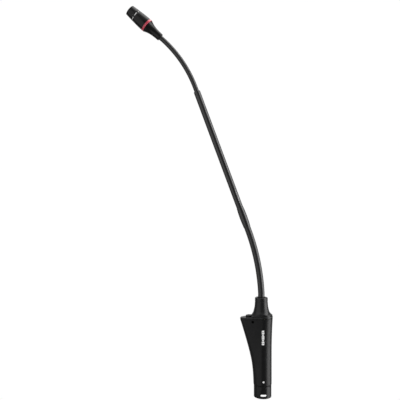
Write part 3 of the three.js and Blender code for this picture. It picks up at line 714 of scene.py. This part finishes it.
def curve_through(rows, steps=6):
    """A smooth curve through (radius, height) rows."""
    points = [Vector(r) for r in rows]
    curve = []
    for i in range(len(points) - 1):
        a, b = points[i], points[i + 1]
        before, after = points[max(0, i - 1)], points[min(len(points) - 1, i + 2)]
        for k in range(steps):
            t = k / steps
            curve.append(tuple(0.5 * (2 * a + (b - before) * t + (2 * before - 5 * a + 4 * b - after) * t**2
                                      + (3 * a - before - 3 * b + after) * t**3)))
    return curve + [tuple(points[-1])]


def sloped(x, z, top=93.8):
    """Height of a point of the collar, whose foot lies parallel to the sloping cover."""
    share = min(1, max(0, (top - z) / (top - COVER_TOP_Z)))
    return z + share * COVER_SLOPE * (x - COVER_LEVEL_X)


def wedge_column(inset, low, high):
    rings = [wedge_outline(COVER_Z, inset, z) for z in (low, high)]
    return lofted("tool", rings)


def make_cover():
    edge, foot = 1.1, 0.25
    rings = []
    for i in range(4):
        a = math.pi / 2 * i / 3
        rings.append(wedge_outline(COVER_Z, foot * (1 - math.sin(a)), COVER_Z + foot * (1 - math.cos(a))))
    for i in range(8):
        a = math.pi / 2 * i / 7
        rings.append(wedge_outline(COVER_Z, edge * (1 - math.cos(a)), COVER_TOP_Z - edge * (1 - math.sin(a))))
    cover = lofted("top_cover", rings)

    groove_top = COVER_TOP_Z + 0.55
    flare = curve_through([(12.0, 88.15), (11.4, 88.4), (10.5, 89.3), (9.4, 90.8), (8.8, 92.0), (8.2, 93.8),
                           (7.3, 98.0), (7.0, 102.0)])
    outline = [
        (0, groove_top), (12.1, groove_top, 0.15), *flare,
        (6.98, 102.6, 0.1), (6.80, 102.8, 0.1), (6.80, 103.2, 0.1), (6.96, 103.4, 0.1),
        (6.9, COLLAR_TOP_Z, 1.0), (0, COLLAR_TOP_Z),
    ]
    at_neck = Matrix.Translation((NECK_X, 0, 0))
    collar = turned("tool", outline, at_neck, 96)
    core = turned("tool",
                  [(0, COVER_Z + 1), (11.2, COVER_Z + 1), (11.2, groove_top + 0.4), (0, groove_top + 0.4)],
                  at_neck, 96)
    for piece, inset in ((collar, 0.35), (core, 1.0)):
        for v in piece.data.vertices:
            v.co.z = sloped(v.co.x / MM + NECK_X, v.co.z / MM) * MM
        carve(piece, [wedge_column(inset, COVER_Z - 1, COLLAR_TOP_Z + 2)], "INTERSECT")
    carve(cover, [core, collar], "UNION")
    bore = peg(COLLAR_BORE_R, COVER_Z - 2, COLLAR_TOP_Z + 2, at_neck, 64)
    button_hole = peg(BUTTON_R + 0.3, COVER_Z - 2, COVER_TOP_Z + 6, Matrix.Translation((BUTTON_X, 0, 0)), 64)
    carve(cover, [bore, button_hole], bevel=0.12)
    settle(cover, "housing_black", "base", "base_top_cover", look=COVER_PLASTIC)


def make_button():
    tilt = Matrix.Rotation(-math.atan(COVER_SLOPE), 4, "Y")
    place = Matrix.Translation((BUTTON_X, 0, BUTTON_TOP_Z)) @ tilt
    button = turned("button_cap", [
        (0, -6.0), (BUTTON_R + 0.5, -6.0, 0.2), (BUTTON_R + 0.5, -4.75, 0.2), (BUTTON_R, -4.6),
        (BUTTON_R, 0.0, 0.9), (BUTTON_R - 0.95, -0.02, 0.4), (1.4, -0.28), (0.7, -0.36), (0, -0.38),
    ], place, 72)
    settle(button, "housing_black", "mute_button", "mute_button")


# ---- Prints ----
def prints(name, cells, surface, look):
    """Thin raised marks: each cell is (low u, high u, low v, high v) on a surface."""
    points, faces = [], []
    across_count, along_count = 7, 3
    for u0, u1, v0, v1 in cells:
        first = len(points)
        for offset in (0.035, -0.05):
            for j in range(along_count):
                for i in range(across_count):
                    u = u0 + (u1 - u0) * i / (across_count - 1)
                    point, out = surface(u, v0 + (v1 - v0) * j / (along_count - 1))
                    points.append(point + out * offset)
        layer = across_count * along_count
        for j in range(along_count - 1):
            for i in range(across_count - 1):
                a = first + j * across_count + i
                quad = (a, a + 1, a + 1 + across_count, a + across_count)
                faces.append(quad)
                faces.append(tuple(layer + q for q in reversed(quad)))
        rim = [first + i for i in range(across_count)]
        rim += [first + (j + 1) * across_count - 1 for j in range(1, along_count)]
        rim += [first + layer - 1 - i for i in range(1, across_count)]
        rim += [first + (along_count - 1 - j) * across_count for j in range(1, along_count - 1)]
        for a, b in zip(rim, rim[1:] + rim[:1]):
            faces.append((b, a, a + layer, b + layer))
    piece = shape(name, points, faces, sharp=30)
    return settle(piece, "housing_black" if "wave" in name else "neck_black",
                  "base" if "wave" in name else "neck_tube", look=look)


def make_prints():
    """A stack of bars like a level meter on the base, and a short row of ticks on the tube."""
    widths = (2.5, 2.7, 2.0, 2.7, 2.7, 1.9, 2.7, 2.3)
    pitch, bar, centre_x, centre_z = 1.98, 1.6, -0.6, 65.6
    cells = []
    for i, width in enumerate(widths):
        z = centre_z + (i - (len(widths) - 1) / 2) * pitch
        cells.append((centre_x - width / 2, centre_x + width / 2, z - bar / 2, z + bar / 2))
    prints("wave_mark", cells, wedge_side, PRINT)

    def tube_surface(angle, s):
        place = frame_along(s)
        out = place.to_3x3() @ Vector((math.cos(angle), math.sin(angle), 0))
        return place.to_translation() + out * TUBE_R, out

    middle, half = math.radians(-62), 0.16
    ticks = [(middle - half, middle + half, 106.0 + 2.2 * i, 106.0 + 2.2 * i + (1.5 if i % 3 else 0.7))
             for i in range(7)]
    prints("tube_ticks", ticks, tube_surface, GREY_PRINT)


# ---- Head ----
def taper(t):
    share = max(0, (t - TAPER_START) / (HEAD_LENGTH - 0.8 - TAPER_START))
    return RING_R + 0.06 + (HEAD_TIP_R - RING_R - 0.06) * share**1.3


def woven_disc(name, radius, height, place):
    """A round of woven wire: two sets of wires that pass over and under each other."""
    pitch, wire, sides = 0.74, 0.15, 6
    count = int(radius / pitch)
    points, faces = [], []
    for turn in (0, 1):
        for k in range(-count, count + 1):
            offset = k * pitch
            half = math.sqrt(radius**2 - offset**2)
            steps = max(4, int(2 * half / pitch) * 3)
            first = len(points)
            for i in range(steps + 1):
                along = -half + 2 * half * i / steps
                lift = wire * math.cos(math.pi * along / pitch + math.pi * (k + turn))
                for j in range(sides):
                    a = 2 * math.pi * j / sides
                    side, up = offset + wire * math.cos(a), height + lift + wire * math.sin(a)
                    points.append((along, side, up) if turn == 0 else (side, along, up))
            for i in range(steps):
                for j in range(sides):
                    low, high = first + i * sides, first + (i + 1) * sides
                    n = (j + 1) % sides
                    faces.append((low + j, low + n, high + n, high + j))
            faces.append(tuple(first + j for j in range(sides)))
            faces.append(tuple(first + steps * sides + j for j in range(sides)))
    return shape(name, points, faces, place, sharp=60)


def make_head():
    place = frame_along(HEAD_START)
    tail_end = RING_START - 0.12
    skin = [(3.3, 0, 0.15), (3.95, 0.35, 0.25)]
    for i in range(1, 33):
        u = 0.03 + 0.97 * i / 32
        skin.append((4.05 + 0.35 * u + (RING_R - 4.45) * u**3.2, u * tail_end))
    skin[-1] = (*skin[-1], 0.12)
    tail = turned("tail_shell", skin + [
        (5.9, tail_end), (4.6, 14.5), (3.2, 9.5), (2.8, 7.6), (2.8, 0.0, 0.1),
    ], place)
    settle(tail, "head_black", "head", "tail_cone")

    ring = turned("light_guide", [
        (RING_R, RING_START, 0.12), (RING_R + 0.05, (RING_START + RING_END) / 2), (RING_R, RING_END, 0.12),
        (5.7, RING_END), (5.7, RING_START),
    ], place)
    settle(ring, "red_lens", "head", "light_ring")

    shell_start, shell_end = RING_END + 0.12, SLOT_END - 0.06
    wall = []
    for i in range(13):
        t = TAPER_START + (shell_end - TAPER_START) * i / 12
        wall.append((taper(t), t))
    wall[-1] = (*wall[-1], 0.05)
    shell = turned("capsule_shell", [
        (RING_R - 0.1, shell_start, 0.1), (taper(0), shell_start, 0.25), *wall,
        (HEAD_BORE_R, shell_end), (HEAD_BORE_R, shell_start),
    ], place, 128)
    tools = []
    for i in range(SLOT_COUNT):
        a = SLOT_TURN + 2 * math.pi * i / SLOT_COUNT
        half = taper(SLOT_START) * math.sin(math.pi / SLOT_COUNT) - POST_WIDTH / 2
        corner = 0.35
        outline = [(-half, SLOT_END + 1), (half, SLOT_END + 1)]
        for side, start in ((1, 0.0), (-1, -math.pi / 2)):
            for k in range(5):
                b = start - math.pi / 2 * k / 4
                outline.append((side * (half - corner) + corner * math.cos(b),
                                SLOT_START + corner + corner * math.sin(b)))
        rings = [[Vector((x, y, z)) for y, z in outline] for x in (4.5, 9.5)]
        tool = lofted("tool", rings)
        tool.matrix_world = shape_place(place) @ Matrix.Rotation(a, 4, "Z")
        tools.append(tool)
    carve(shell, tools, bevel=0.06)
    settle(shell, "head_black", "head", "capsule_housing")

    nose = []
    for i in range(9):
        t = SLOT_END + (HEAD_LENGTH - 0.8 - SLOT_END) * i / 8
        nose.append((taper(t), t))
    nose[0] = (*nose[0], 0.08)
    cap = turned("front_shell", nose + [
        (HEAD_TIP_R - 0.05, HEAD_LENGTH, 0.75), (4.55, HEAD_LENGTH, 0.2), (4.3, HEAD_LENGTH - 0.4, 0.1),
        (4.3, HEAD_LENGTH - 1.0), (5.2, HEAD_LENGTH - 1.0), (5.2, 38.2), (HEAD_BORE_R,
                                                                          38.2), (HEAD_BORE_R, SLOT_END, 0.05),
    ], place)
    settle(cap, "head_black", "head", "front_cap")

    mesh = woven_disc("front_screen", 4.75, HEAD_LENGTH - 1.55, place)
    settle(mesh, "nickel", "head", "front_mesh")
    # A solid sheet behind the woven screen, in the same near-white colour with its painted highlight.
    painted_highlight_backing = turned("slot_painted_highlight_backing", [(5.2, 33.4), (5.5, 33.4), (5.5, 37.9), (5.2, 37.9)], place)
    settle(painted_highlight_backing, "nickel", "head", look=WIRE_WITH_PAINTED_HIGHLIGHT)
    # The screen's near-white colour is a painted highlight.
    screen = woven_band("slot_screen", 5.72, 33.4, 37.9, place)
    settle(screen, "nickel", "head", "port_screen", look=WIRE_WITH_PAINTED_HIGHLIGHT)


def shape_place(place):
    return Matrix.Translation(place.to_translation() * MM) @ place.to_3x3().to_4x4()


def woven_band(name, radius, low, high, place):
    """A band of woven wire round the capsule: rings crossed by short straight wires."""
    wire, sides, pitch = 0.14, 6, 0.33
    points, faces = [], []
    around = 72
    uprights = 48
    for row in range(int((high - low) / pitch) + 1):
        z = low + row * pitch
        first = len(points)
        for i in range(around):
            a = 2 * math.pi * i / around
            wobble = 0.5 * wire * math.cos(uprights / 2 * a + math.pi * row)
            for j in range(sides):
                b = 2 * math.pi * j / sides
                r = radius + wobble + wire * math.cos(b)
                points.append((r * math.cos(a), r * math.sin(a), z + wire * math.sin(b)))
        for i in range(around):
            for j in range(sides):
                here, there, n = first + i * sides, first + (i + 1) % around * sides, (j + 1) % sides
                faces.append((here + j, here + n, there + n, there + j))
    for k in range(uprights):
        a = 2 * math.pi * k / uprights
        first = len(points)
        for z in (low - 0.1, high + 0.1):
            for j in range(sides):
                b = 2 * math.pi * j / sides
                r, side = radius + wire * math.cos(b), wire * math.sin(b)
                points.append((r * math.cos(a) - side * math.sin(a), r * math.sin(a) + side * math.cos(a), z))
        for j in range(sides):
            n = (j + 1) % sides
            faces.append((first + j, first + n, first + n + sides, first + j + sides))
        faces.append(tuple(first + j for j in range(sides)))
        faces.append(tuple(first + sides + j for j in range(sides)))
    return shape(name, points, faces, place, sharp=60)


# ---- Everything ----
def dress_frame():
    """CAD nodes that stay in view get the material of their slot."""
    for row in frame["record"]["subparts"]:
        node = NODES[row["node"]]
        node.data.materials.clear()
        node.data.materials.append(LOOKS[row["material_slot"]])


make_camera()
make_world()
make_stage()
dress_frame()
make_plug()
make_housing()
make_cover()
make_button()
make_neck()
make_prints()
make_head()
